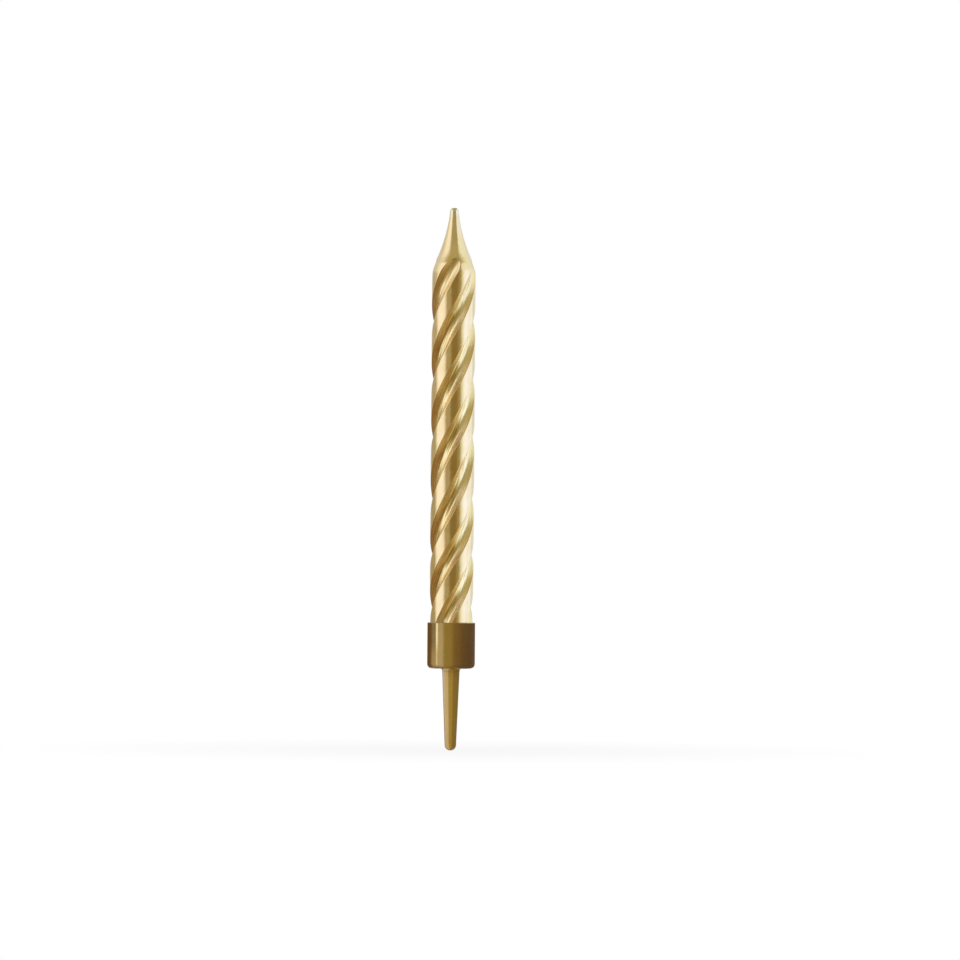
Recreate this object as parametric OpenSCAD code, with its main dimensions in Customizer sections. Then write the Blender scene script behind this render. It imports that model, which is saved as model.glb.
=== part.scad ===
// Spiral birthday candle in its cake holder.
// Millimetres, +Z up along the candle. The origin is the centre of the cup's
// flat underside, which rests on the cake once the stake is pushed in.

/* [Candle] */
// Length of the wax body, from its foot to the top of its tip
candle_length = 69; // [45:1:120]
// Diameter over the crests of the spiral
candle_dia = 6.65; // [5.5:0.05:9]
// How much the diameter of the foot is eased to enter the cup
foot_ease = 0.15; // [0.05:0.01:0.5]
// Height above the rim over which the foot grows to the full diameter
foot_taper = 8; // [2:0.5:15]

/* [Spiral] */
// Number of flutes that wind up the candle
flute_count = 4; // [3:1:6]
// Rise of a flute in one full right-handed turn
flute_lead = 35.35; // [24:0.05:80]
// Width of a flute between its two edges
flute_width = 2.8; // [2:0.05:3.4]
// Width of the flat floor of a flute
flute_floor = 1.05; // [0.3:0.05:1.8]
// Depth of a flute's floor below the crests along the body
flute_depth = 0.94; // [0.5:0.02:1.2]
// Depth that a flute has left where it runs out on the tip
flute_end_depth = 0.72; // [0.5:0.02:1.2]
// Direction of the first flute where the candle meets the cup's floor, in degrees
flute_start = 11.5; // [0:0.5:90]
// Unevenness of the twist: how far the flutes fall back and then run ahead, in degrees
twist_sway = 6; // [0:0.5:8]
// Height above the foot over which the twist is uneven
sway_height = 30.5; // [20:0.5:40]

/* [Tip] */
// Height over which the wax is drawn in to the wick
tip_height = 9.8; // [7:0.2:13]
// Thickness of the wax round the wick at the very top
tip_wall = 0.2; // [0.1:0.05:0.6]
// Radius of the hollow sweep up to the wick
flare_radius = 23; // [20:1:60]
// Radius of the round shoulder under the sweep
shoulder_radius = 3.75; // [2:0.25:9]

/* [Wick] */
// Diameter of the cotton wick
wick_dia = 0.8; // [0.5:0.05:1.2]
// Height of the wick's cut end above the wax
wick_stand = 0.15; // [0.05:0.05:6]

/* [Cup] */
// Depth of the socket that holds the candle's foot
socket_depth = 6; // [4:0.25:10]
// Thickness of the cup's wall
cup_wall = 0.34; // [0.25:0.01:1.5]
// Thickness of the cup's floor
cup_floor = 1; // [0.6:0.05:2.5]
// Radius of the round edge under the cup
cup_edge = 0.7; // [0.2:0.05:1]
// Radius of the small round on both edges of the rim
rim_edge = 0.1; // [0.02:0.01:0.12]

/* [Stake] */
// Length of the stake below the cup
stake_length = 12.5; // [6:0.5:40]
// Diameter of the stake where it leaves the cup
stake_top_dia = 2.65; // [1.9:0.05:4]
// Diameter of the stake just above its round end
stake_end_dia = 1.75; // [0.8:0.05:2.5]
// Radius of the fillet between the stake and the cup
stake_fillet = 0.4; // [0.1:0.05:0.6]

/* [Fits] */
// Gap all round between the candle's foot and the socket
socket_gap = 0.04; // [0.02:0.01:0.1]
// Gap all round between the wick and the wax
wick_gap = 0.02; // [0.01:0.01:0.1]

/* [Hidden] */
$fn = 96;

// Heights from the cup's underside up
cup_height = cup_floor + socket_depth;
foot_z = cup_floor;
shoulder_z = foot_z + candle_length - tip_height;

// Radii of the candle, its wick hole and the cup
crest_r = candle_dia / 2;
foot_r = crest_r - foot_ease / 2;
wick_hole_r = wick_dia / 2 + wick_gap;
tip_r = wick_hole_r + tip_wall;
socket_r = foot_r + socket_gap;
cup_r = socket_r + cup_wall;

// A cut runs past the wax by this much at both ends
cut_over = tip_wall;

// Half the angle between a flute's edges on the crest circle
flute_half = asin(flute_width / 2 / crest_r);

// Profile of the tip: a hollow sweep and a round shoulder that meet on one
// tangent, worked out from their radii, the tip's height and its growth
tip_growth = crest_r - tip_r;
tip_radii = flare_radius + shoulder_radius;
tip_fall = shoulder_radius - tip_growth;
tip_turn = (tip_radii ^ 2 - tip_height ^ 2 - tip_fall ^ 2 - flare_radius ^ 2) / (2 * flare_radius);
flare_start = asin(tip_turn / norm([tip_height, tip_fall])) - atan2(tip_fall, tip_height);
flare_end = asin((tip_height + flare_radius * sin(flare_start)) / tip_radii);
flare_height = flare_radius * (sin(flare_end) - sin(flare_start));

// Steps of the wax surface: along the body, along the tip, and across a
// flute's wall, its floor and the crest beside it
body_step = 1;
body_rings = ceil((shoulder_z - foot_z) / body_step);
tip_rings = 24;
wall_steps = 3;
floor_steps = 2;
flute_steps = 2 * wall_steps + floor_steps;
crest_steps = 4;
ring_steps = flute_count * (flute_steps + crest_steps);
flute_pitch = 360 / flute_count;
// On the tip a flute runs out: its angle closes up to this share, and its
// floor never takes more than that share of what is left
least_flute_share = 0.2;
most_floor_share = 0.6;

// Steps of each round on the holder
round_steps = 8;

function smooth(t) = t * t * (3 - 2 * t);
function unit(t) = max(0, min(1, t));

// Radius of the tip at a depth below its top
function tip_radius(depth) =
    depth < flare_height
    ? tip_r + flare_radius * (cos(flare_start) - sqrt(1 - (sin(flare_start) + depth / flare_radius) ^ 2))
    : crest_r - shoulder_radius + sqrt(shoulder_radius ^ 2 - (tip_height - depth) ^ 2);

// Radius of the crests at a height
function crest_radius(z) =
    z > shoulder_z
    ? tip_radius(shoulder_z + tip_height - z)
    : foot_r + (crest_r - foot_r) * smooth(unit((z - cup_height) / foot_taper));

// Direction of the first flute at a height: a steady twist, and below
// sway_height one full wave of unevenness on it
function flute_turn(z) =
    flute_start + 360 * (z - foot_z) / flute_lead - twist_sway * sin(360 * unit((z - foot_z) / sway_height));

// Section of a flute: a flat floor, and a flat wall from each end of the floor
// to an edge on the crest circle. These are the distances from the candle's
// axis to the floor and to the plane of a wall, and the angle between the two
function floor_distance(z) =
    crest_r - flute_depth + (flute_depth - flute_end_depth) * smooth(unit(1 + (z - shoulder_z) / tip_height));
function wall_slope(floor_r) = atan2(crest_r * cos(flute_half) - floor_r, (flute_width - flute_floor) / 2);
function wall_distance(floor_r) =
    let (slope = wall_slope(floor_r))
    floor_r * cos(slope) - flute_floor / 2 * sin(slope);

// Distance of a flute's surface from the candle's axis, at an angle from its middle
function flute_radius(a, floor_r) = max(
    floor_r / cos(a),
    wall_distance(floor_r) / cos(abs(a) + wall_slope(floor_r))
);

// Half the angle between a flute's edges where the crests have radius r
function flute_reach(r, floor_r) = max(
    least_flute_share * flute_half,
    min(
        acos(min(1, floor_r / r)),
        acos(min(1, wall_distance(floor_r) / r)) - wall_slope(floor_r)
    )
);

// Angle from the middle of a flute to step j across it
function flute_angle(j, reach, floor_end) =
    j < wall_steps
    ? -reach + (reach - floor_end) * j / wall_steps
    : j <= wall_steps + floor_steps
    ? floor_end * (2 * (j - wall_steps) / floor_steps - 1)
    : floor_end + (reach - floor_end) * (j - wall_steps - floor_steps) / wall_steps;

// Step j of a ring, as its angle from the middle of its flute and its radius
function flute_point(j, r, reach, floor_r) =
    let (
        floor_half = atan2(flute_floor / 2, floor_r),
        a = flute_angle(j, reach, min(floor_half, most_floor_share * reach))
    )
    [a, min(r, flute_radius(a, floor_r))];
function crest_point(j, r, reach) = [reach + (flute_pitch - 2 * reach) * j / crest_steps, r];

function ring(z) =
    let (
        r = crest_radius(z),
        floor_r = floor_distance(z),
        reach = flute_reach(r, floor_r),
        turn = flute_turn(z)
    )
    [for (k = [0:flute_count - 1], j = [0:flute_steps + crest_steps - 1])
        let (
            p = j < flute_steps
                ? flute_point(j, r, reach, floor_r)
                : crest_point(j - flute_steps, r, reach),
            a = turn + k * flute_pitch + p[0]
        )
        [p[1] * cos(a), p[1] * sin(a), z]];

ring_heights = concat(
    [for (i = [0:body_rings - 1]) foot_z + (shoulder_z - foot_z) * i / body_rings],
    [for (i = [0:tip_rings]) shoulder_z + tip_height * i / tip_rings]
);

function wax_points() = concat(
    [for (z = ring_heights) each ring(z)],
    [[0, 0, foot_z], [0, 0, foot_z + candle_length]]
);

function wax_faces() =
    let (n = ring_steps, last = len(ring_heights) - 1, foot = n * (last + 1), top = foot + 1)
    [
        for (i = [0:last - 1], j = [0:n - 1])
            let (a = i * n + j, b = i * n + (j + 1) % n)
            each [[a, a + n, b + n], [a, b + n, b]],
        for (j = [0:n - 1]) [foot, j, (j + 1) % n],
        for (j = [0:n - 1]) [top, last * n + (j + 1) % n, last * n + j]
    ];

// Points of a round with centre c, radius r, from angle a to angle b
function round_points(c, r, a, b) =
    [for (i = [0:round_steps]) let (t = a + (b - a) * i / round_steps) c + r * [cos(t), sin(t)]];

module wax_body() {
    color("goldenrod")
    difference() {
        polyhedron(points = wax_points(), faces = wax_faces());
        translate([0, 0, foot_z - cut_over])
        cylinder(r = wick_hole_r, h = candle_length + 2 * cut_over);
    }
}

module wick() {
    color("wheat")
    translate([0, 0, foot_z])
    cylinder(d = wick_dia, h = candle_length + wick_stand);
}

module holder() {
    end_r = stake_end_dia / 2;
    neck_r = stake_top_dia / 2;
    color("darkgoldenrod")
    rotate_extrude()
    polygon(concat(
        round_points([0, end_r - stake_length], end_r, -90, 0),
        round_points([neck_r + stake_fillet, -stake_fillet], stake_fillet, 180, 90),
        round_points([cup_r - cup_edge, cup_edge], cup_edge, -90, 0),
        round_points([cup_r - rim_edge, cup_height - rim_edge], rim_edge, 0, 90),
        round_points([socket_r + rim_edge, cup_height - rim_edge], rim_edge, 90, 180),
        [[socket_r, cup_floor], [0, cup_floor]]
    ));
}

wax_body();
wick();
holder();
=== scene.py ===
import math

import bpy
import numpy as np
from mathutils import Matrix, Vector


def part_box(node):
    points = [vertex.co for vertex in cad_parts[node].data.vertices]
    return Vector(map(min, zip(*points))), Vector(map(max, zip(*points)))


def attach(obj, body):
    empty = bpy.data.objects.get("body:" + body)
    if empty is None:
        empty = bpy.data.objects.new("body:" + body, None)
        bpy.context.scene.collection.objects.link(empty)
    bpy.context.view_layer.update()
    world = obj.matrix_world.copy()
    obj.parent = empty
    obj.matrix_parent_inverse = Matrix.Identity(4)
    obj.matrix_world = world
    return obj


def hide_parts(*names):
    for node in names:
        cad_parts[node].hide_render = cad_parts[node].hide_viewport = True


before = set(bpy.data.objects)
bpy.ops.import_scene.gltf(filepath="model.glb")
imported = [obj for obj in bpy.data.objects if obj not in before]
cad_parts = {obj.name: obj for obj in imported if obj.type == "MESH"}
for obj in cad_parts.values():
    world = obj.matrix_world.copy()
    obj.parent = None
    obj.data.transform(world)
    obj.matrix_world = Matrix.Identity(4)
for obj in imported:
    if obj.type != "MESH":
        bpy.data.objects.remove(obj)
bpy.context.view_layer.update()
print("frame loaded:", sorted(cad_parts))

mm = 0.001
waxLow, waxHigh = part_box("wax_body")
wickLow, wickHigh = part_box("wick")
holderLow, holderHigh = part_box("holder")


# Shapes

def eased(share):
    # three squares of the share less two cubes: level at 0 and at 1, and held beyond them
    share = np.clip(share, 0, 1)
    return share * share * (3 - 2 * share)


def fullTurn(columns):
    # evenly spaced angles once round the axis, in radians
    return np.linspace(0, 2 * math.pi, columns, endpoint=False)[None, :]


def ringRows(radius, around, height):
    # x is the radius times the angle's cosine and y times its sine, at that height
    return np.stack(np.broadcast_arrays(radius * np.cos(around), radius * np.sin(around), height), -1)


def arcPoints(centre, radius, fromAngle, toAngle, steps):
    # points of a circle's arc in the (radius, height) plane, angles in degrees
    turn = np.radians(np.linspace(fromAngle, toAngle, steps + 1))
    return np.stack([centre[0] + radius * np.cos(turn), centre[1] + radius * np.sin(turn)], axis=-1)


def linePoints(start, end, steps):
    # evenly spaced points strictly between two corners of a profile
    share = np.linspace(0, 1, steps + 2)[1:-1, None]
    return np.array(start) + share * (np.array(end) - np.array(start))


def softRound(first, second, width):
    # how far a corner is rounded: nothing where two distances differ by width or more,
    # and a quarter of width where they are equal
    near = np.clip(width - np.abs(first - second), 0, None) / width
    return near ** 2 * width / 4


def patchNoise(across, along, cells, seed):
    # smooth noise from -1 to 1: random values on a lattice, eased between its points;
    # both places run from 0 to 1, and across meets itself there without a seam
    lattice = np.random.default_rng(seed).uniform(-1, 1, cells)
    x, y = across * cells[0], along * (cells[1] - 1)
    left = np.floor(x).astype(int)
    low = np.clip(np.floor(y).astype(int), 0, cells[1] - 2)
    shareX, shareY = eased(x - left), eased(y - low)
    left, right = left % cells[0], (left + 1) % cells[0]
    lower = lattice[left, low] * (1 - shareX) + lattice[right, low] * shareX
    upper = lattice[left, low + 1] * (1 - shareX) + lattice[right, low + 1] * shareX
    return lower * (1 - shareY) + upper * shareY


def pairedNoise(across, along, cells, seed):
    # coarse noise plus half as much fine noise
    coarse, fine = cells
    return patchNoise(across, along, coarse, seed) + 0.5 * patchNoise(across, along, fine, seed + 1)


# Objects

def addObject(name, data):
    # an object at the origin that shows a mesh, a lamp or a camera
    made = bpy.data.objects.new(name, data)
    bpy.context.scene.collection.objects.link(made)
    return made


def gridMesh(name, points, closed=False):
    # a skin over a rows x columns x 3 array whose columns go round the axis; closed joins
    # the last row to the first, otherwise a fan shuts each end at the mean of its row
    rows, columns = points.shape[:2]
    index = np.arange(rows * columns).reshape(rows, columns)
    around = np.roll(index, -1, axis=1)
    if closed:
        low, lowNext = index, around
        high, highNext = np.roll(index, -1, axis=0), np.roll(around, -1, axis=0)
    else:
        low, lowNext, high, highNext = index[:-1], around[:-1], index[1:], around[1:]
    vertices = points.reshape(-1, 3)
    faces = np.stack([low, lowNext, highNext, high], axis=-1).reshape(-1, 4).tolist()
    if not closed:
        first, last = len(vertices), len(vertices) + 1
        vertices = np.vstack([vertices, points[0].mean(axis=0), points[-1].mean(axis=0)])
        faces += np.stack([np.full(columns, first), around[0], index[0]], axis=-1).tolist()
        faces += np.stack([np.full(columns, last), index[-1], around[-1]], axis=-1).tolist()
    mesh = bpy.data.meshes.new(name)
    mesh.from_pydata(vertices.tolist(), [], faces)
    mesh.shade_smooth()
    mesh.update()
    return addObject(name, mesh)


def addAttribute(piece, name, values):
    # one number or vector for each vertex, for a material to read
    values = np.ascontiguousarray(values, dtype=np.float32)
    kind, key = ("FLOAT", "value") if values.ndim == 1 else ("FLOAT_VECTOR", "vector")
    layer = piece.data.attributes.new(name, kind, "POINT")
    layer.data.foreach_set(key, values.ravel())


# Materials

def newMaterial(name):
    # a material with an empty node tree
    material = bpy.data.materials.new(name)
    material.use_nodes = True
    material.node_tree.nodes.clear()
    return material, material.node_tree


def addNode(tree, kind, inputs=None, **settings):
    # inputs maps a socket's name to a value or to another node's output
    made = tree.nodes.new(kind)
    for key, value in settings.items():
        setattr(made, key, value)
    for key, value in (inputs or {}).items():
        if isinstance(value, bpy.types.NodeSocket):
            tree.links.new(value, made.inputs[key])
        else:
            made.inputs[key].default_value = value
    return made


def objectPlace(tree):
    # the piece's own coordinates in metres
    return addNode(tree, "ShaderNodeTexCoord").outputs["Object"]


def readAttribute(tree, name, output="Fac"):
    # what addAttribute gave the mesh: Fac for a number, Vector for a vector
    return addNode(tree, "ShaderNodeAttribute", attribute_name=name).outputs[output]


def addNoise(tree, place, scale, detail, roughness=0.5):
    # fractal noise from 0 to 1: scale is in cells per metre, detail in finer layers
    return addNode(tree, "ShaderNodeTexNoise", {
        "Vector": place, "Scale": scale, "Detail": detail, "Roughness": roughness,
    }).outputs["Fac"]


def addMaths(tree, operation, first, second):
    # the sum, difference, product or larger of two values
    return addNode(tree, "ShaderNodeMath", {0: first, 1: second}, operation=operation).outputs["Value"]


def addBump(tree, height, distance, strength=1.0, under=None):
    # leans the surface as if height raised it by distance, on top of another bump
    inputs = {"Height": height, "Distance": distance, "Strength": strength}
    if under is not None:
        inputs["Normal"] = under
    return addNode(tree, "ShaderNodeBump", inputs).outputs["Normal"]


def blendRange(tree, value, source=(0.0, 1.0), target=(0.0, 1.0)):
    # a straight line that takes the source range to the target range, held at its ends
    return addNode(tree, "ShaderNodeMapRange", {
        "Value": value, "From Min": source[0], "From Max": source[1],
        "To Min": target[0], "To Max": target[1],
    }).outputs["Result"]


def blendColours(tree, factor, first, second):
    # the first at 0 and the second at 1; each is a colour or another node's output
    made = addNode(tree, "ShaderNodeMix", {"Factor": factor}, data_type="RGBA")
    for name, value in (("A", first), ("B", second)):
        socket = next(each for each in made.inputs if each.type == "RGBA" and each.name == name)
        if isinstance(value, bpy.types.NodeSocket):
            tree.links.new(value, socket)
        else:
            socket.default_value = (*value, 1)
    return next(each for each in made.outputs if each.type == "RGBA")


def addPrincipled(tree, inputs):
    # the surface's shader, joined to the material's output
    shader = addNode(tree, "ShaderNodeBsdfPrincipled", inputs)
    addNode(tree, "ShaderNodeOutputMaterial", {"Surface": shader.outputs["BSDF"]})


# Wax body

lacquer = {
    "gold": (0.88, 0.715, 0.42),
    "deepGold": (0.84, 0.65, 0.34),      # clouds in the gold
    "cloudScale": 420.0,                 # cells per metre
    "cloudRange": (0.35, 0.7),           # noise over which gold turns to deep gold
    # the streaks' colours: on the whole a darker, deeper gold than the crest's, painted shade in the
    # flutes' recesses
    "shadedStreakDark": (0.69, 0.49, 0.19),
    "shadedStreakLight": (1.0, 0.86, 0.46),
    "streakScale": (5200.0, 420.0),      # cells per metre across a flute and along it
    "streakRange": (0.42, 0.57),         # noise over which dark turns to light
    "streakAndShadeTint": 0.9,                   # how much the streaks, with their painted shade, colour a flute
    "streakShadeDepths": (0.1, 0.7),          # shares of a flute's depth over which that comes in
    "streakHeight": 0.035 * mm,
    "streakStrength": (0.25, 1.0),       # share of that height on the crests and in the flutes
    "strengthDepths": (0.0, 0.3),        # shares of the depth over which it grows
    "upperWallLight": (0.96, 0.81, 0.48),     # painted light: the wall that looks upwards is paler
    "upperLightTint": 0.75,                   # how much this colours it
    "upperLightRange": (0.1, 0.6),            # values of upperLightShare over which that comes in
    "thinLacquer": (0.80, 0.735, 0.50),  # greyer gold round the wick
    "greyerBelow": (1.3 * mm, 0.7 * mm),   # it starts and is full this far below the top
    "grainScale": 9000.0,
    "grainHeight": 0.004 * mm,
    "roughness": (0.12, 0.20),           # on the crests, in dark and in light streaks
    "roughRange": (0.3, 0.7),            # noise over which the one turns to the other
    "wallRoughness": 0.17,               # how much rougher the lacquer is on a flute's walls
    "wallDepths": (0.0, 0.3),            # shares of the depth over which that comes in
    "floorRoughness": 0.08,              # how much rougher it is on a flute's floor
    "floorDepths": (0.75, 0.95),
}


def goldLacquer():
    # metal lacquer with fine streaks that follow the spiral, and a fine grain; its colours
    # lie over each other: clouded gold, streaks with painted shade in the flutes, the upper walls' painted
    # light and the greyer tip
    material, tree = newMaterial("goldLacquer")
    place = objectPlace(tree)
    depth = readAttribute(tree, "fluteShare")
    across, along = lacquer["streakScale"]
    stretched = addNode(tree, "ShaderNodeMapping", {
        "Vector": readAttribute(tree, "straightened", "Vector"), "Scale": (across, across, along),
    }).outputs["Vector"]
    streaks = addNoise(tree, stretched, scale=1.0, detail=3.0, roughness=0.6)
    grain = addNoise(tree, place, lacquer["grainScale"], detail=2.0)
    cloud = addNoise(tree, place, lacquer["cloudScale"], detail=3.0)

    clouded = blendColours(tree, blendRange(tree, cloud, lacquer["cloudRange"]),
                           lacquer["gold"], lacquer["deepGold"])
    shadedStreaks = blendColours(tree, blendRange(tree, streaks, lacquer["streakRange"]),
                            lacquer["shadedStreakDark"], lacquer["shadedStreakLight"])
    # the flutes take the streaks by their depth: a streaky texture, and painted shade in the recesses
    fluteStreaksAndShade = blendRange(tree, depth, lacquer["streakShadeDepths"], (0.0, lacquer["streakAndShadeTint"]))
    colour = blendColours(tree, fluteStreaksAndShade, clouded, shadedStreaks)
    # painted light: the wall that looks upwards is painted paler
    onUpperLight = blendRange(tree, readAttribute(tree, "upperLightShare"), lacquer["upperLightRange"],
                         (0.0, lacquer["upperLightTint"]))
    colour = blendColours(tree, onUpperLight, colour, lacquer["upperWallLight"])
    height = addNode(tree, "ShaderNodeSeparateXYZ", {"Vector": place}).outputs["Z"]
    thin = blendRange(tree, height, [waxHigh.z - below for below in lacquer["greyerBelow"]])
    colour = blendColours(tree, thin, colour, lacquer["thinLacquer"])

    strength = blendRange(tree, depth, lacquer["strengthDepths"], lacquer["streakStrength"])
    bump = addBump(tree, streaks, lacquer["streakHeight"], strength)
    bump = addBump(tree, grain, lacquer["grainHeight"], under=bump)

    # the roughness climbs from the crest to the wall and drops again to the floor
    drop = lacquer["wallRoughness"] - lacquer["floorRoughness"]
    onWall = blendRange(tree, depth, lacquer["wallDepths"], (0.0, lacquer["wallRoughness"]))
    onFloor = blendRange(tree, depth, lacquer["floorDepths"], (0.0, drop))
    plain = blendRange(tree, streaks, lacquer["roughRange"], lacquer["roughness"])
    roughness = addMaths(tree, "ADD", plain, addMaths(tree, "SUBTRACT", onWall, onFloor))
    addPrincipled(tree, {
        "Base Color": colour, "Metallic": 1.0, "Roughness": roughness, "Normal": bump,
    })
    return material


paraffin = {
    "dull": (0.80, 0.76, 0.64),
    "pale": (0.88, 0.85, 0.76),
    "cloudScale": 900.0,                 # cells per metre
    "cloudHeight": 0.06 * mm,
    "roughness": 0.45,
}


def bareWax():
    # uncoated paraffin on the cut foot: pale, waxy, a little cloudy
    material, tree = newMaterial("bareWax")
    cloud = addNoise(tree, objectPlace(tree), paraffin["cloudScale"], detail=4.0)
    addPrincipled(tree, {
        "Base Color": blendColours(tree, cloud, paraffin["dull"], paraffin["pale"]),
        "Roughness": paraffin["roughness"],
        "Normal": addBump(tree, cloud, paraffin["cloudHeight"]),
    })
    return material


wax = {
    "crestRadius": 3.325 * mm,
    "footEase": 0.075 * mm,              # the foot's crests are lower by this much
    "footTaper": 8.0 * mm,               # they grow to full size over this height above the rim
    "flutes": 4,
    "lead": 35.35 * mm,                  # rise of a flute in one turn
    "fluteWidth": 2.8 * mm,
    "fluteFloor": 1.05 * mm,             # width of a flute's flat floor
    "fluteDepth": 0.94 * mm,
    "fluteEndDepth": 0.72 * mm,          # what is left of it where a flute runs out on the tip
    "leastWidth": 0.2,                   # share of its angle that a flute keeps there
    "fluteStart": 11.5,                  # direction of the first flute at the foot, degrees
    "twistSway": 6.0,                    # the flutes fall back and run ahead by these degrees
    "swayHeight": 30.5 * mm,             # over this height above the foot
    "edgeRound": 0.07 * mm,              # how far the crest and a flute's wall melt together
    "foldRound": 0.22 * mm,              # and the wall and the floor
    "floorBow": 0.45,                    # 0 for a flat floor, 1 for one as round as the candle
    "upperLightFrom": 0.12,                   # share of half a flute where the painted light of the upper wall starts
    "upperLightEase": 0.3,                    # and how much further it is full
    "tipHeight": 9.8 * mm,
    "tipRadius": 0.62 * mm,              # at the very top, without its round
    "tipEdge": (0.18 * mm, 0.62 * mm),   # width and height of that round
    "flareRadius": 23.0 * mm,            # of the tip's hollow sweep
    "shoulderRadius": 3.75 * mm,         # of the round shoulder under it
    "holeRadius": 0.42 * mm,             # of the wick's hole
    "waveDepth": 0.012 * mm,             # slow unevenness of the whole skin
    "waveCells": ((9, 40), (17, 80)),    # coarse and fine: how many round, how many up
    "streakDepth": 0.016 * mm,           # relief of the streaks in a flute
    "streakCells": ((40, 9), (84, 16)),
    "leastRelief": 0.1,                  # share of both that is left at the very top
    "seed": 11,
    "fluteColumns": 36,                  # grid columns across a flute
    "crestColumns": 14,                  # and across the crest beside it
    "bodyRows": 380,
    "tipRows": 70,
    "edgeRows": 6,
    "holeRows": 12,
    "footRows": 5,
}
halfFlute = math.asin(wax["fluteWidth"] / 2 / wax["crestRadius"])
flutePitch = 2 * math.pi / wax["flutes"]


def tipProfile():
    # a hollow sweep and a round shoulder share one tangent: the sweep's first angle and its
    # height follow from the two radii, the tip's height and how much the tip grows
    growth = wax["crestRadius"] - wax["tipRadius"]
    flare, shoulder, height = wax["flareRadius"], wax["shoulderRadius"], wax["tipHeight"]
    fall = shoulder - growth
    turn = ((flare + shoulder) ** 2 - height ** 2 - fall ** 2 - flare ** 2) / (2 * flare)
    start = math.asin(turn / math.hypot(height, fall)) - math.atan2(fall, height)
    end = math.asin((height + flare * math.sin(start)) / (flare + shoulder))
    return start, flare * (math.sin(end) - math.sin(start))


def crestRadius(z):
    # radius of the crests: eased foot, plain body, then two arcs of circles up the tip
    start, sweepHeight = tipProfile()
    flare, shoulder, height = wax["flareRadius"], wax["shoulderRadius"], wax["tipHeight"]
    grown = eased((z - holderHigh.z) / wax["footTaper"])
    body = wax["crestRadius"] - wax["footEase"] * (1 - grown)
    depth = waxHigh.z - z
    lean = np.clip(math.sin(start) + depth / flare, -1, 1)
    sweep = wax["tipRadius"] + flare * (math.cos(start) - np.sqrt(1 - lean ** 2))
    inside = np.clip(shoulder ** 2 - (height - depth) ** 2, 0, None)
    knee = wax["crestRadius"] - shoulder + np.sqrt(inside)
    tip = np.where(depth < sweepHeight, sweep, knee)
    return np.where(depth < height, tip, body)


def fluteTurn(z):
    # a steady twist, with one sine wave of unevenness on its lower part
    climbed = z - waxLow.z
    wave = np.sin(2 * math.pi * np.clip(climbed / wax["swayHeight"], 0, 1))
    return np.radians(wax["fluteStart"] - wax["twistSway"] * wave) + 2 * math.pi * climbed / wax["lead"]


def fluteSection(z, crest):
    # a flute has a flat floor, and a flat wall on each side that climbs to the crest:
    # floor and wall are their planes' distances from the axis, slope the angle between
    # the two, and reach half the angle between the edges, where a plane meets the crest
    shallower = wax["fluteDepth"] - wax["fluteEndDepth"]
    below = waxHigh.z - wax["tipHeight"] - z
    floor = wax["crestRadius"] - wax["fluteDepth"] + shallower * eased(1 - below / wax["tipHeight"])
    slope = np.arctan2(wax["crestRadius"] * math.cos(halfFlute) - floor,
                       (wax["fluteWidth"] - wax["fluteFloor"]) / 2)
    wall = floor * np.cos(slope) - wax["fluteFloor"] / 2 * np.sin(slope)
    reach = np.minimum(np.arccos(np.clip(floor / crest, -1, 1)),
                       np.arccos(np.clip(wall / crest, -1, 1)) - slope)
    return floor, wall, slope, np.maximum(wax["leastWidth"] * halfFlute, reach)


def columnAngles(reach):
    # angles from a flute's middle, across it and then across the crest beside it, closer
    # together towards the edges: a sine and a cosine space them
    across = np.sin(np.linspace(-math.pi / 2, math.pi / 2, wax["fluteColumns"], endpoint=False))
    between = 0.5 - 0.5 * np.cos(np.linspace(0, math.pi, wax["crestColumns"], endpoint=False))
    return np.concatenate([reach * across, reach + (flutePitch - 2 * reach) * between], axis=1)


def skinRelief(columns, z, crest, depth):
    # how far the skin lies in: waves all over, plus streaks times the root of the flute's
    # depth; both fade with the crest's radius up the tip
    turns = (columns / (2 * math.pi)) % 1
    climb = np.broadcast_to((z - waxLow.z) / (waxHigh.z - waxLow.z), turns.shape)
    streaks = pairedNoise(turns, climb, wax["streakCells"], wax["seed"])
    waves = pairedNoise(turns, climb, wax["waveCells"], wax["seed"] + 2)
    fade = (crest - wax["tipRadius"]) / (wax["crestRadius"] - wax["tipRadius"])
    relief = wax["waveDepth"] * (1 + waves) + wax["streakDepth"] * np.sqrt(depth) * (1 + streaks)
    return np.clip(fade, wax["leastRelief"], 1) * relief


def waxSurface():
    # rows climb the candle and columns follow the twist, so a flute's edges lie on columns
    tipFoot = waxHigh.z - wax["tipHeight"]
    z = np.concatenate([
        np.linspace(waxLow.z, tipFoot, wax["bodyRows"], endpoint=False),
        np.linspace(tipFoot, waxHigh.z - wax["tipEdge"][1], wax["tipRows"]),
    ])[:, None]
    crest = crestRadius(z)
    floor, wall, slope, reach = fluteSection(z, crest)
    local = columnAngles(reach)
    aside = (local + flutePitch / 2) % flutePitch - flutePitch / 2
    # the flute is the floor or the wall, whichever lies further out, and the crest caps it
    bottom = floor / np.cos(aside) ** (1 - wax["floorBow"])
    side = wall / np.cos(np.abs(aside) + slope)
    flute = np.maximum(bottom, side) + softRound(bottom, side, wax["foldRound"])
    shape = np.minimum(crest, flute) - softRound(crest, flute, wax["edgeRound"])
    # how deep in a flute each point lies, and how much painted light it takes as part of the upper wall
    depth = np.clip((crest - shape) / wax["fluteDepth"], 0, 1)
    upper = depth * np.clip((aside / halfFlute - wax["upperLightFrom"]) / wax["upperLightEase"], 0, 1)
    columns = np.concatenate([local + flutePitch * number for number in range(wax["flutes"])], axis=1)
    shape, depth, upper = (np.tile(part, (1, wax["flutes"])) for part in (shape, depth, upper))
    shape = shape - skinRelief(columns, z, crest, depth)
    return ringRows(shape, columns + fluteTurn(z), z), ringRows(shape, columns, z), depth, upper


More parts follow.
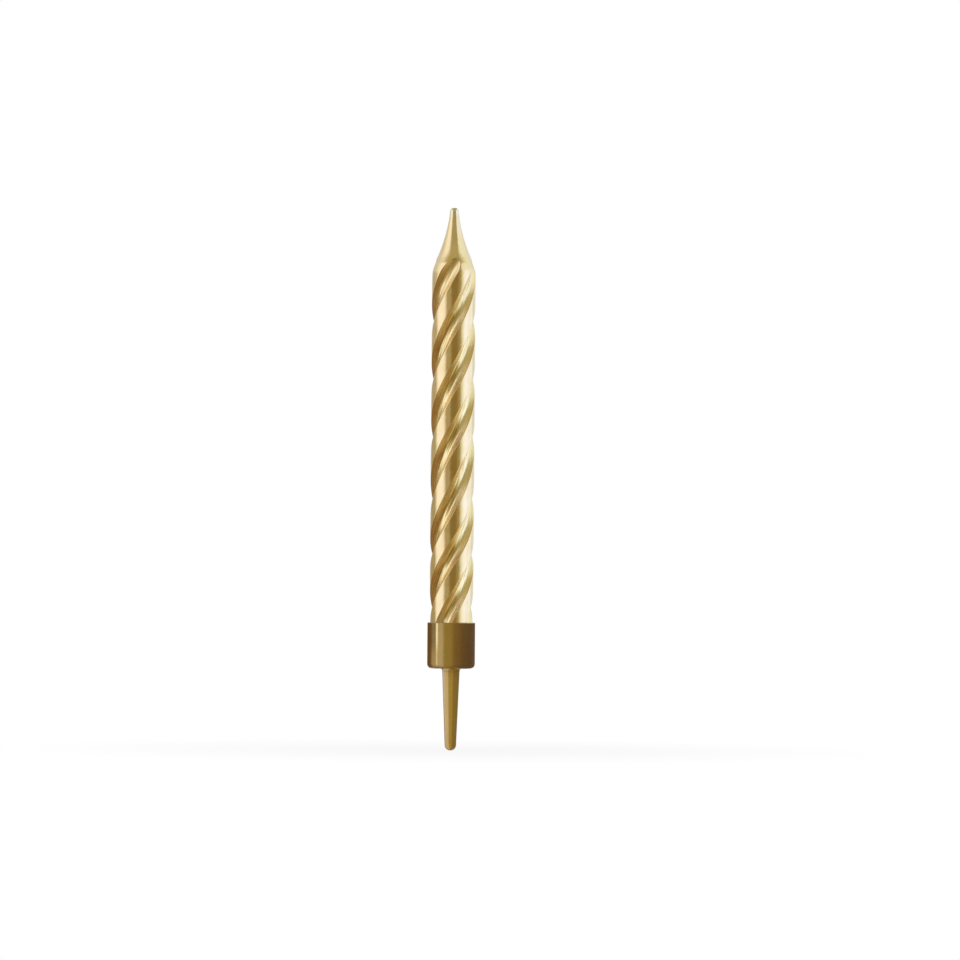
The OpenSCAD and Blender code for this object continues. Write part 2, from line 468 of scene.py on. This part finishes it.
def makeWaxBody():
    # one closed skin: up the outside, over the tip, down the wick's hole, out over the foot
    skin, flat, depth, upper = waxSurface()
    top, foot = skin[-1], skin[0]
    topAngle, footAngle = np.arctan2(top[:, 1], top[:, 0]), np.arctan2(foot[:, 1], foot[:, 0])
    # a quarter of an ellipse rounds the top's outer edge
    edgeWidth, edgeHeight = wax["tipEdge"]
    lift = np.radians(np.linspace(0, 90, wax["edgeRows"] + 1))[1:, None]
    edge = ringRows(np.hypot(top[:, 0], top[:, 1]) - edgeWidth * (1 - np.cos(lift)), topAngle,
                    waxHigh.z - edgeHeight * (1 - np.sin(lift)))
    # the hole's rings turn back on the way down, so that they meet the foot's columns
    down = np.linspace(0, 1, wax["holeRows"])[:, None]
    slide = (footAngle - topAngle + math.pi) % (2 * math.pi) - math.pi
    hole = ringRows(wax["holeRadius"], topAngle + down * slide,
                    waxHigh.z + down * (waxLow.z - waxHigh.z))
    outward = np.linspace(0, 1, wax["footRows"] + 1)[1:-1, None, None]
    base = hole[-1] + outward * (foot - hole[-1])
    points = np.concatenate([skin, edge, hole, base])
    piece = gridMesh("waxCandle", points, closed=True)
    addAttribute(piece, "straightened", np.concatenate([flat, edge, hole, base]).reshape(-1, 3))
    for name, part in (("fluteShare", depth), ("upperLightShare", upper)):
        share = np.zeros(points.shape[:2])
        share[:len(skin)] = part
        addAttribute(piece, name, share.ravel())
    piece.data.materials.append(goldLacquer())
    piece.data.materials.append(bareWax())
    row = np.arange(len(piece.data.polygons)) // points.shape[1]
    bare = row >= len(skin) + len(edge)
    piece.data.polygons.foreach_set("material_index", bare.astype(np.int32))
    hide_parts("wax_body")
    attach(piece, "candle")
    print("wax body made:", len(piece.data.polygons), "faces")


# Wick

cotton = {
    "dark": (0.36, 0.28, 0.14),
    "light": (0.62, 0.52, 0.32),
    "fibreScale": 7000.0,                # cells per metre
    "fibreHeight": 0.02 * mm,
    "roughness": 0.6,
}


def cottonWick():
    # waxed cotton, stained a dull gold: its fibres show in the colour and the relief
    material, tree = newMaterial("cottonWick")
    fibres = addNoise(tree, objectPlace(tree), cotton["fibreScale"], detail=3.0)
    addPrincipled(tree, {
        "Base Color": blendColours(tree, fibres, cotton["dark"], cotton["light"]),
        "Roughness": cotton["roughness"],
        "Normal": addBump(tree, fibres, cotton["fibreHeight"]),
    })
    return material


wick = {
    "radius": 0.40 * mm,
    "strands": 4,                        # that wind each way
    "strandDepth": 0.05 * mm,            # of the grooves between them
    "strandLead": 3.2 * mm,              # rise of a strand in one turn
    "endRound": 0.14 * mm,               # round on the edge of the cut end
    "endTurn": 84.0,                     # degrees of it, up to the flat of the end
    "endShares": (0.7, 0.4, 0.15),       # rings of the flat, as shares of its radius
    "endRows": 7,
    "columns": 32,
    "rows": 320,
}


def makeWick():
    # two sets of strands wind opposite ways, each as high as the size of a sine round the
    # wick, and the higher one shows at each point
    z = np.linspace(wickLow.z, wickHigh.z - wick["endRound"], wick["rows"])[:, None]
    around = fullTurn(wick["columns"])
    climb = 2 * math.pi * (z - wickLow.z) / wick["strandLead"]
    left = np.abs(np.sin(wick["strands"] / 2 * (around - climb)))
    right = np.abs(np.sin(wick["strands"] / 2 * (around + climb)))
    radius = wick["radius"] - wick["strandDepth"] * (1 - np.maximum(left, right))
    # the last ring shrinks along the round, and then level across the end
    lift = np.radians(np.linspace(0, wick["endTurn"], wick["endRows"] + 1))[1:]
    shrink = 1 - wick["endRound"] / wick["radius"] * (1 - np.cos(lift))
    level = wickHigh.z - wick["endRound"] * (1 - np.sin(lift))
    shrink = np.concatenate([shrink, shrink[-1] * np.array(wick["endShares"])])[:, None]
    level = np.pad(level, (0, len(wick["endShares"])), mode="edge")[:, None]
    points = np.concatenate([ringRows(radius, around, z), ringRows(radius[-1] * shrink, around, level)])
    piece = gridMesh("cottonBraid", points)
    piece.data.materials.append(cottonWick())
    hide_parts("wick")
    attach(piece, "candle")
    print("wick made:", len(piece.data.polygons), "faces")


# Holder

plastic = {
    "bronze": (0.39, 0.245, 0.06),
    "dark": (0.36, 0.22, 0.05),          # clouds in the bronze
    "cloudScale": 300.0,                 # cells per metre
    "cloudRange": (0.35, 0.7),           # noise over which bronze turns dark
    "peelScale": 2200.0,                 # the skin's orange peel
    "peelHeight": 0.012 * mm,
    "peelRange": (0.3, 0.7),             # noise over which the roughness changes
    "roughness": (0.27, 0.34),
    "socketRoughness": 0.35,             # how much rougher the socket is than the outside
    "pearl": 0.75,                       # share of metallic pigment
    "socketPearl": 0.35,                 # what shows of it in the socket
    "specular": 0.2,
    "gloss": 0.11,                       # roughness of the clear skin
    "glossIndex": 1.45,                  # and its index of refraction
}


def bronzePlastic():
    # moulded plastic with gold pearl pigment under a clear glossy skin: faint clouding
    # in the colour, fine orange peel, and a duller socket with no clear skin
    material, tree = newMaterial("bronzePlastic")
    place = objectPlace(tree)
    cloud = addNoise(tree, place, plastic["cloudScale"], detail=3.0)
    peel = addNoise(tree, place, plastic["peelScale"], detail=2.0)
    bump = addBump(tree, peel, plastic["peelHeight"])
    inside = readAttribute(tree, "socketShare")
    rough = blendRange(tree, peel, plastic["peelRange"], plastic["roughness"])
    rougher = blendRange(tree, inside, target=(0.0, plastic["socketRoughness"]))
    addPrincipled(tree, {
        "Base Color": blendColours(tree, blendRange(tree, cloud, plastic["cloudRange"]),
                                   plastic["bronze"], plastic["dark"]),
        "Metallic": blendRange(tree, inside, target=(plastic["pearl"], plastic["socketPearl"])),
        "Roughness": addMaths(tree, "ADD", rough, rougher),
        "Specular IOR Level": plastic["specular"],
        "Normal": bump,
        "Coat Weight": blendRange(tree, inside, target=(1.0, 0.0)),
        "Coat Roughness": plastic["gloss"],
        "Coat IOR": plastic["glossIndex"],
        "Coat Normal": bump,
    })
    return material


holder = {
    "cupRadius": holderHigh.x,
    "wall": 0.34 * mm,
    "floor": 1.0 * mm,
    "edge": 0.7 * mm,                    # round edge under the cup
    "rim": 0.1 * mm,                     # round on both edges of the rim
    "neckRadius": 1.325 * mm,            # of the stake under the cup
    "endRadius": 0.875 * mm,             # and of its round end
    "fillet": 0.4 * mm,                  # between the stake and the cup
    "endAngle": -85,                     # where the round end's first ring lies, degrees
    "columns": 128,
    "sideRows": 40,                      # up the stake, the cup and the socket
    "faceRows": 6,                       # across the cup's underside
    "floorRows": 12,                     # across the socket's floor
    "roundRows": 14,                     # round the stake's end and the cup's edge
    "smallRoundRows": 8,                 # round the fillet and the rim
}


def makeHolder():
    # a profile of lines and arcs turned round the axis: it starts at the stake's point,
    # climbs outside, crosses the rim and ends at the middle of the socket's floor
    neck, end, fillet = holder["neckRadius"], holder["endRadius"], holder["fillet"]
    cup, edge, rim = holder["cupRadius"], holder["edge"], holder["rim"]
    bore = cup - holder["wall"]
    top, bottom, floor = holderHigh.z, holderLow.z, holder["floor"]
    side, large, small = holder["sideRows"], holder["roundRows"], holder["smallRoundRows"]
    profile = np.concatenate([
        arcPoints((0, bottom + end), end, holder["endAngle"], 0, large),
        linePoints((end, bottom + end), (neck, -fillet), side),
        arcPoints((neck + fillet, -fillet), fillet, 180, 90, small),
        linePoints((neck + fillet, 0), (cup - edge, 0), holder["faceRows"]),
        arcPoints((cup - edge, edge), edge, -90, 0, large),
        linePoints((cup, edge), (cup, top - rim), side),
        arcPoints((cup - rim, top - rim), rim, 0, 90, small),
        arcPoints((bore + rim, top - rim), rim, 90, 180, small),
        linePoints((bore, top - rim), (bore, floor), side),
        linePoints((bore, floor), (0, floor), holder["floorRows"]),
    ])
    radius, height = profile[:, :1], profile[:, 1:]
    piece = gridMesh("cupAndStake", ringRows(radius, fullTurn(holder["columns"]), height))
    # the socket is what lies within the rim; of the two closing points the second is in it
    inside = (radius <= bore + rim) & (height > floor / 2)
    inside = np.repeat(inside, holder["columns"])
    addAttribute(piece, "socketShare", np.concatenate([inside, [0, 1]]))
    piece.data.materials.append(bronzePlastic())
    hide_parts("holder")
    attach(piece, "holder")
    print("holder made:", len(piece.data.polygons), "faces")


# What the gloss reflects

def fadeIn(value, edge, width):
    # 0 below the edge and 1 above it, eased over the width
    return eased((value - edge) / width + 0.5)


def paintPanels(panels, turn, lift, radiance):
    # each panel covers what lies under it by its mask, the product of its four edges' fades
    for panel in panels:
        (left, right), (low, high) = panel["across"], panel["up"]
        fadeLeft, fadeRight, fadeUp = panel["fade"]
        mask = (fadeIn(turn, left, fadeLeft) * (1 - fadeIn(turn, right, fadeRight))
                * fadeIn(lift, low, fadeUp) * (1 - fadeIn(lift, high, fadeUp)))[..., None]
        radiance = radiance * (1 - mask) + np.array(panel["colour"]) * mask
    return radiance


def azimuths(columns):
    # even steps in degrees from the back, round the front, which is 0, to the back again
    return np.linspace(-180, 180, columns)[None, :]


def backGlow(name):
    # the backs of the faces give off their own colour, and the fronts are clear
    material, tree = newMaterial(name)
    radiance = readAttribute(tree, "radiance", "Vector")
    side = addNode(tree, "ShaderNodeNewGeometry").outputs["Backfacing"]
    clear = addNode(tree, "ShaderNodeBsdfTransparent").outputs["BSDF"]
    glow = addNode(tree, "ShaderNodeEmission", {"Color": radiance, "Strength": 1.0})
    sided = addNode(tree, "ShaderNodeMixShader", {"Fac": side, 1: clear, 2: glow.outputs["Emission"]})
    addNode(tree, "ShaderNodeOutputMaterial", {"Surface": sided.outputs["Shader"]})
    return material


def reflectedSheet(name, radius, turn, height, radiance):
    # a sheet of rings that only glossy reflections see: its faces point away from the
    # candle, or down, so it glows inwards, or up, and hides nothing behind it
    points = ringRows(radius, np.radians(turn - 90), height)
    rows, columns = points.shape[:2]
    index = np.arange(rows * columns).reshape(rows, columns)
    quads = np.stack([index[:-1, :-1], index[:-1, 1:], index[1:, 1:], index[1:, :-1]], -1)
    mesh = bpy.data.meshes.new(name)
    mesh.from_pydata(points.reshape(-1, 3).tolist(), [], quads.reshape(-1, 4).tolist())
    mesh.materials.append(backGlow(name))
    sheet = addObject(name, mesh)
    addAttribute(sheet, "radiance", np.broadcast_to(radiance, points.shape).reshape(-1, 3))
    for ray in ("camera", "diffuse", "transmission", "volume_scatter", "shadow"):
        setattr(sheet, "visible_" + ray, False)


studio = {
    "centre": 0.5 * (holderLow.z + waxHigh.z),  # height of the dome's middle
    "softLight": 0.42,                   # the world's strength on the object
}

dome = {
    "radius": 0.6,
    "columns": 361,
    "rows": 91,
    # faint upright stripes over all of it: how many go round, and how strong they are
    "stripes": ((44, 0.09), (97, 0.06)),
    "seed": 20,
    # panels on white, the later ones on top: azimuths, where 0 faces the camera and they
    # grow to the right, then elevations, then the widths over which the left edge, the
    # right edge and both level edges fade, all in degrees
    "panels": {
        "ceiling": {"across": (-181, 181), "up": (42, 100), "fade": (1, 1, 12),
                    "colour": (0.48, 0.41, 0.19)},
        "leftBackUpper": {"across": (-200, -108), "up": (2, 43), "fade": (4, 16, 8),
                          "colour": (0.75, 0.77, 0.78)},
        "leftCore": {"across": (-86, -48), "up": (-14, 43), "fade": (12, 11, 12),
                     "colour": (1.18, 1.20, 1.36)},
        "leftUpper": {"across": (-84, -38), "up": (24, 43), "fade": (12, 10, 8),
                      "colour": (1.16, 1.14, 1.20)},
        "rightSoftbox": {"across": (44, 200), "up": (-14, 43), "fade": (4, 8, 12),
                         "colour": (1.12, 1.26, 1.72)},
        "rightUpper": {"across": (44, 200), "up": (16, 43), "fade": (10, 8, 12),
                       "colour": (0.98, 1.08, 1.30)},
        "rightTop": {"across": (44, 200), "up": (30, 43), "fade": (8, 8, 8),
                     "colour": (0.98, 1.08, 1.04)},
        "rightBack": {"across": (120, 200), "up": (-14, 43), "fade": (24, 8, 12),
                      "colour": (0.84, 0.90, 0.98)},
        "leftBack": {"across": (-200, -97), "up": (-14, 5), "fade": (4, 9, 10),
                     "colour": (0.45, 0.39, 0.26)},
        "leftEnd": {"across": (-200, -150), "up": (-14, 8), "fade": (4, 16, 10),
                    "colour": (0.62, 0.58, 0.50)},
        "rightEdge": {"across": (40, 54), "up": (-14, 16), "fade": (4, 8, 12),
                      "colour": (0.82, 0.88, 0.72)},
        "front": {"across": (-40, 42), "up": (-91, 43), "fade": (14, 3, 12),
                  "colour": (0.42, 0.33, 0.17)},
        "frontStripe": {"across": (-31, -12), "up": (-8, 14), "fade": (6, 3, 10),
                        "colour": (0.46, 0.40, 0.25)},
        "frontCore": {"across": (-12, 25), "up": (-91, 24), "fade": (3, 8, 16),
                      "colour": (0.27, 0.20, 0.068)},
        "frontUpper": {"across": (-32, 40), "up": (14, 43), "fade": (14, 6, 10),
                       "colour": (0.42, 0.385, 0.24)},
        "low": {"across": (-181, 181), "up": (-91, -13), "fade": (1, 1, 6),
                "colour": (0.295, 0.183, 0.075)},
        "lowRight": {"across": (36, 220), "up": (-91, -14), "fade": (70, 20, 6),
                     "colour": (0.64, 0.52, 0.26)},
        "lowRightBack": {"across": (150, 220), "up": (-91, -14), "fade": (30, 20, 6),
                         "colour": (0.90, 0.92, 0.90)},
    },
}


def makeDome():
    # a ball round the studio's middle: white, then its panels, then each set of stripes
    # as a factor near 1
    turn = azimuths(dome["columns"])
    lift = np.linspace(-90, 90, dome["rows"])[:, None]
    white = np.ones((dome["rows"], dome["columns"], 3))
    radiance = paintPanels(dome["panels"].values(), turn, lift, white)
    for seed, (count, share) in enumerate(dome["stripes"], start=dome["seed"]):
        stripes = patchNoise(turn / 360 + 0.5, np.full_like(lift, 0.5), (count, 2), seed)
        radiance = radiance * (1 + share * stripes[..., None])
    level = dome["radius"] * np.cos(np.radians(lift))
    height = dome["radius"] * np.sin(np.radians(lift)) + studio["centre"]
    reflectedSheet("reflectionDome", level, turn, height, radiance)


# Small glowing rings, one round the cup and one round the stake. Their panels are like
# the dome's, but with heights in place of elevations, and fill panelUp where they give none
rings = {
    "cupRing": {
        "radius": 3.95 * mm,
        "up": (-9.0 * mm, 7.0 * mm),
        "columns": 361,
        "rows": 81,
        "colour": (0.175, 0.115, 0.105),
        "panelUp": (-0.6 * mm, 9.0 * mm),
        "panels": {
            "under": {"across": (-130, -8), "up": (-10.0 * mm, -0.5 * mm),
                      "fade": (20, 20, 0.6 * mm), "colour": (0.42, 0.40, 0.22)},
            "edge": {"across": (-130, -58), "fade": (30, 8, 0.6 * mm), "colour": (0.13, 0.05, 0.03)},
            "left": {"across": (-60, -18), "fade": (9, 8, 0.6 * mm), "colour": (0.43, 0.43, 0.42)},
            "tan": {"across": (-39, -19), "fade": (5, 12, 0.6 * mm), "colour": (1.00, 1.08, 1.20)},
            "front": {"across": (-19, 9), "fade": (12, 22, 0.6 * mm), "colour": (0.56, 0.50, 0.19)},
            "frontRight": {"across": (7, 25), "fade": (22, 22, 0.6 * mm), "colour": (0.32, 0.21, 0.10)},
            "back": {"across": (118, 150), "fade": (10, 26, 0.6 * mm), "colour": (0.85, 0.90, 0.96)},
            "backLeft": {"across": (-178, -146), "fade": (20, 16, 0.6 * mm), "colour": (0.50, 0.45, 0.34)},
            "lowLeft": {"across": (-60, -42), "up": (-0.6 * mm, 2.9 * mm),
                        "fade": (16, 3, 2.4 * mm), "colour": (0.82, 0.80, 0.70)},
            "stripLow": {"across": (-43, -37.5), "up": (0.2 * mm, 9.0 * mm),
                         "fade": (2, 2, 0.6 * mm), "colour": (1.8, 1.95, 2.4)},
            "stripHigh": {"across": (-43, -37.5), "up": (3.4 * mm, 9.0 * mm),
                          "fade": (2, 2, 3.0 * mm), "colour": (2.9, 3.4, 5.0)},
        },
    },
    "stakeRing": {
        "radius": 2.0 * mm,
        "up": (-26.0 * mm, -0.3 * mm),
        "columns": 361,
        "rows": 81,
        "colour": (0.175, 0.115, 0.105),
        "panelUp": (-27.0 * mm, -0.4 * mm),
        "panels": {
            "end": {"across": (-181, 181), "up": (-27.0 * mm, -13.5 * mm),
                    "fade": (1, 1, 1.0 * mm), "colour": (0.80, 0.66, 0.46)},
            "left": {"across": (-103, -21), "fade": (26, 25, 0.3 * mm), "colour": (1.40, 1.45, 1.58)},
            "front": {"across": (-21, 26), "fade": (25, 25, 0.3 * mm), "colour": (0.80, 0.73, 0.26)},
            "right": {"across": (26, 91), "fade": (25, 43, 0.3 * mm), "colour": (0.50, 0.42, 0.18)},
            "back": {"across": (103, 141), "fade": (17, 35, 0.3 * mm), "colour": (0.55, 0.52, 0.42)},
        },
    },
}


def makeRings():
    # each ring is an upright band in its own colour, with its panels on it
    for name, ring in rings.items():
        turn = azimuths(ring["columns"])
        height = np.linspace(*ring["up"], ring["rows"])[:, None]
        plain = np.broadcast_to(np.array(ring["colour"]), (ring["rows"], ring["columns"], 3))
        panels = [{"up": ring["panelUp"], **panel} for panel in ring["panels"].values()]
        reflectedSheet(name, ring["radius"], turn, height, paintPanels(panels, turn, height, plain))


mouth = {
    "radius": 3.3 * mm,
    "below": 0.06 * mm,                  # how far it lies under the rim
    "columns": 361,
    "colour": (0.36, 0.28, 0.15),
}


def makeMouth():
    # a disc over the socket's dark mouth, for the flutes above it to reflect
    radius = np.array([[0.0], [mouth["radius"]]])
    reflectedSheet("socketMouth", radius, azimuths(mouth["columns"]), holderHigh.z - mouth["below"],
                   np.array(mouth["colour"]))


# Light, floor and camera

keyLight = {
    "across": -40,                       # azimuth and elevation in degrees, as on the dome
    "up": 12,
    "distance": 0.8,
    "size": (0.25, 0.5),
    "power": 3.6,
    "colour": (1.0, 0.99, 0.96),
}


def makeKeyLight():
    # a soft lamp that faces the studio's middle, left out of reflections
    lamp = bpy.data.lights.new("keyLight", "AREA")
    lamp.shape = "RECTANGLE"
    lamp.size, lamp.size_y = keyLight["size"]
    lamp.energy, lamp.color = keyLight["power"], keyLight["colour"]
    light = addObject("keyLight", lamp)
    turn, lift = math.radians(keyLight["across"]), math.radians(keyLight["up"])
    level = keyLight["distance"] * math.cos(lift)
    light.location = (level * math.sin(turn), -level * math.cos(turn),
                      studio["centre"] + keyLight["distance"] * math.sin(lift))
    light.rotation_euler = (math.pi / 2 - lift, 0, turn)
    light.visible_camera = False
    light.visible_glossy = False


def makeWorld():
    # white for the camera, reflections and glass, dimmer for soft light
    world = bpy.data.worlds.new("studioWorld")
    bpy.context.scene.world = world
    world.use_nodes = True
    tree = world.node_tree
    tree.nodes.clear()
    path = addNode(tree, "ShaderNodeLightPath")
    seen = path.outputs["Is Camera Ray"]
    for other in ("Is Glossy Ray", "Is Transmission Ray"):
        seen = addMaths(tree, "MAXIMUM", seen, path.outputs[other])
    background = addNode(tree, "ShaderNodeBackground", {
        "Color": (1, 1, 1, 1),
        "Strength": blendRange(tree, seen, target=(studio["softLight"], 1.0)),
    })
    addNode(tree, "ShaderNodeOutputWorld", {"Surface": background.outputs["Background"]})


floorSheet = {
    "radius": 0.25,
    "sides": 96,
    "clearRange": (0.01, 0.07),          # distances over which the sheet fades to plain white
    "shadowShare": 0.14,                 # how much of the matt sheet the camera sees at its middle
    "colour": (0.93, 0.93, 0.93),
}


def floorFinish():
    # matt, but for the camera mixed with plain white, fully so at a distance; the back
    # of the sheet is clear
    material, tree = newMaterial("floor")
    seen = addNode(tree, "ShaderNodeLightPath").outputs["Is Camera Ray"]
    side = addNode(tree, "ShaderNodeNewGeometry").outputs["Backfacing"]
    distance = addNode(tree, "ShaderNodeVectorMath", {0: objectPlace(tree)}, operation="LENGTH")
    white = blendRange(tree, distance.outputs["Value"], floorSheet["clearRange"],
                       (1 - floorSheet["shadowShare"], 1.0))
    matt = addNode(tree, "ShaderNodeBsdfDiffuse", {"Color": (*floorSheet["colour"], 1)})
    glow = addNode(tree, "ShaderNodeEmission", {"Color": (1, 1, 1, 1), "Strength": 1.0})
    clear = addNode(tree, "ShaderNodeBsdfTransparent").outputs["BSDF"]
    lit = addNode(tree, "ShaderNodeMixShader", {
        "Fac": addMaths(tree, "MULTIPLY", white, seen),
        1: matt.outputs["BSDF"], 2: glow.outputs["Emission"],
    })
    sided = addNode(tree, "ShaderNodeMixShader", {"Fac": side, 1: lit.outputs["Shader"], 2: clear})
    addNode(tree, "ShaderNodeOutputMaterial", {"Surface": sided.outputs["Shader"]})
    return material


def makeFloor():
    # a pale round sheet under the stake: it keeps a light shadow, fades to white away
    # from it and hides nothing from below
    ring = ringRows(floorSheet["radius"], fullTurn(floorSheet["sides"]), holderLow.z)[0]
    mesh = bpy.data.meshes.new("floor")
    mesh.from_pydata(ring.tolist(), [], [list(range(len(ring)))])
    mesh.materials.append(floorFinish())
    floor = addObject("floor", mesh)
    floor.visible_glossy = False


camera = {
    "frameWidth": 960.0,                 # pixels
    "pixelsPerMetre": 6563.6,            # the photograph's scale at the candle
    "axisPixel": 452.4,                  # where the candle's axis crosses the frame's middle row
    "tipPixel": 209.2,                   # row of the wax's top
    "distance": 1.5,
    "roll": -0.44,                       # degrees; the candle leans a little in the frame
    "sensor": 36.0,
    "clipEnd": 10.0,
}


def makeCamera():
    # level, in front: the lens is the sensor's width times the distance over the frame's
    # real width at the candle, and the two pixels place the frame's middle
    data = bpy.data.cameras.new("camera")
    data.type = "PERSP"
    data.sensor_width = camera["sensor"]
    width = camera["frameWidth"] / camera["pixelsPerMetre"]
    data.lens = camera["sensor"] * camera["distance"] / width
    data.clip_end = camera["clipEnd"]
    half = camera["frameWidth"] / 2
    aside = (half - camera["axisPixel"]) / camera["pixelsPerMetre"]
    height = waxHigh.z - (half - camera["tipPixel"]) / camera["pixelsPerMetre"]
    eye = addObject("camera", data)
    eye.location = (aside, -camera["distance"], height)
    eye.rotation_euler = (math.pi / 2, math.radians(camera["roll"]), 0)
    bpy.context.scene.camera = eye


makeWaxBody()
makeWick()
makeHolder()
makeWorld()
makeFloor()
makeDome()
makeRings()
makeMouth()
print("reflections made")
makeKeyLight()
makeCamera()
bpy.context.scene.view_settings.view_transform = "Standard"
print("studio ready")
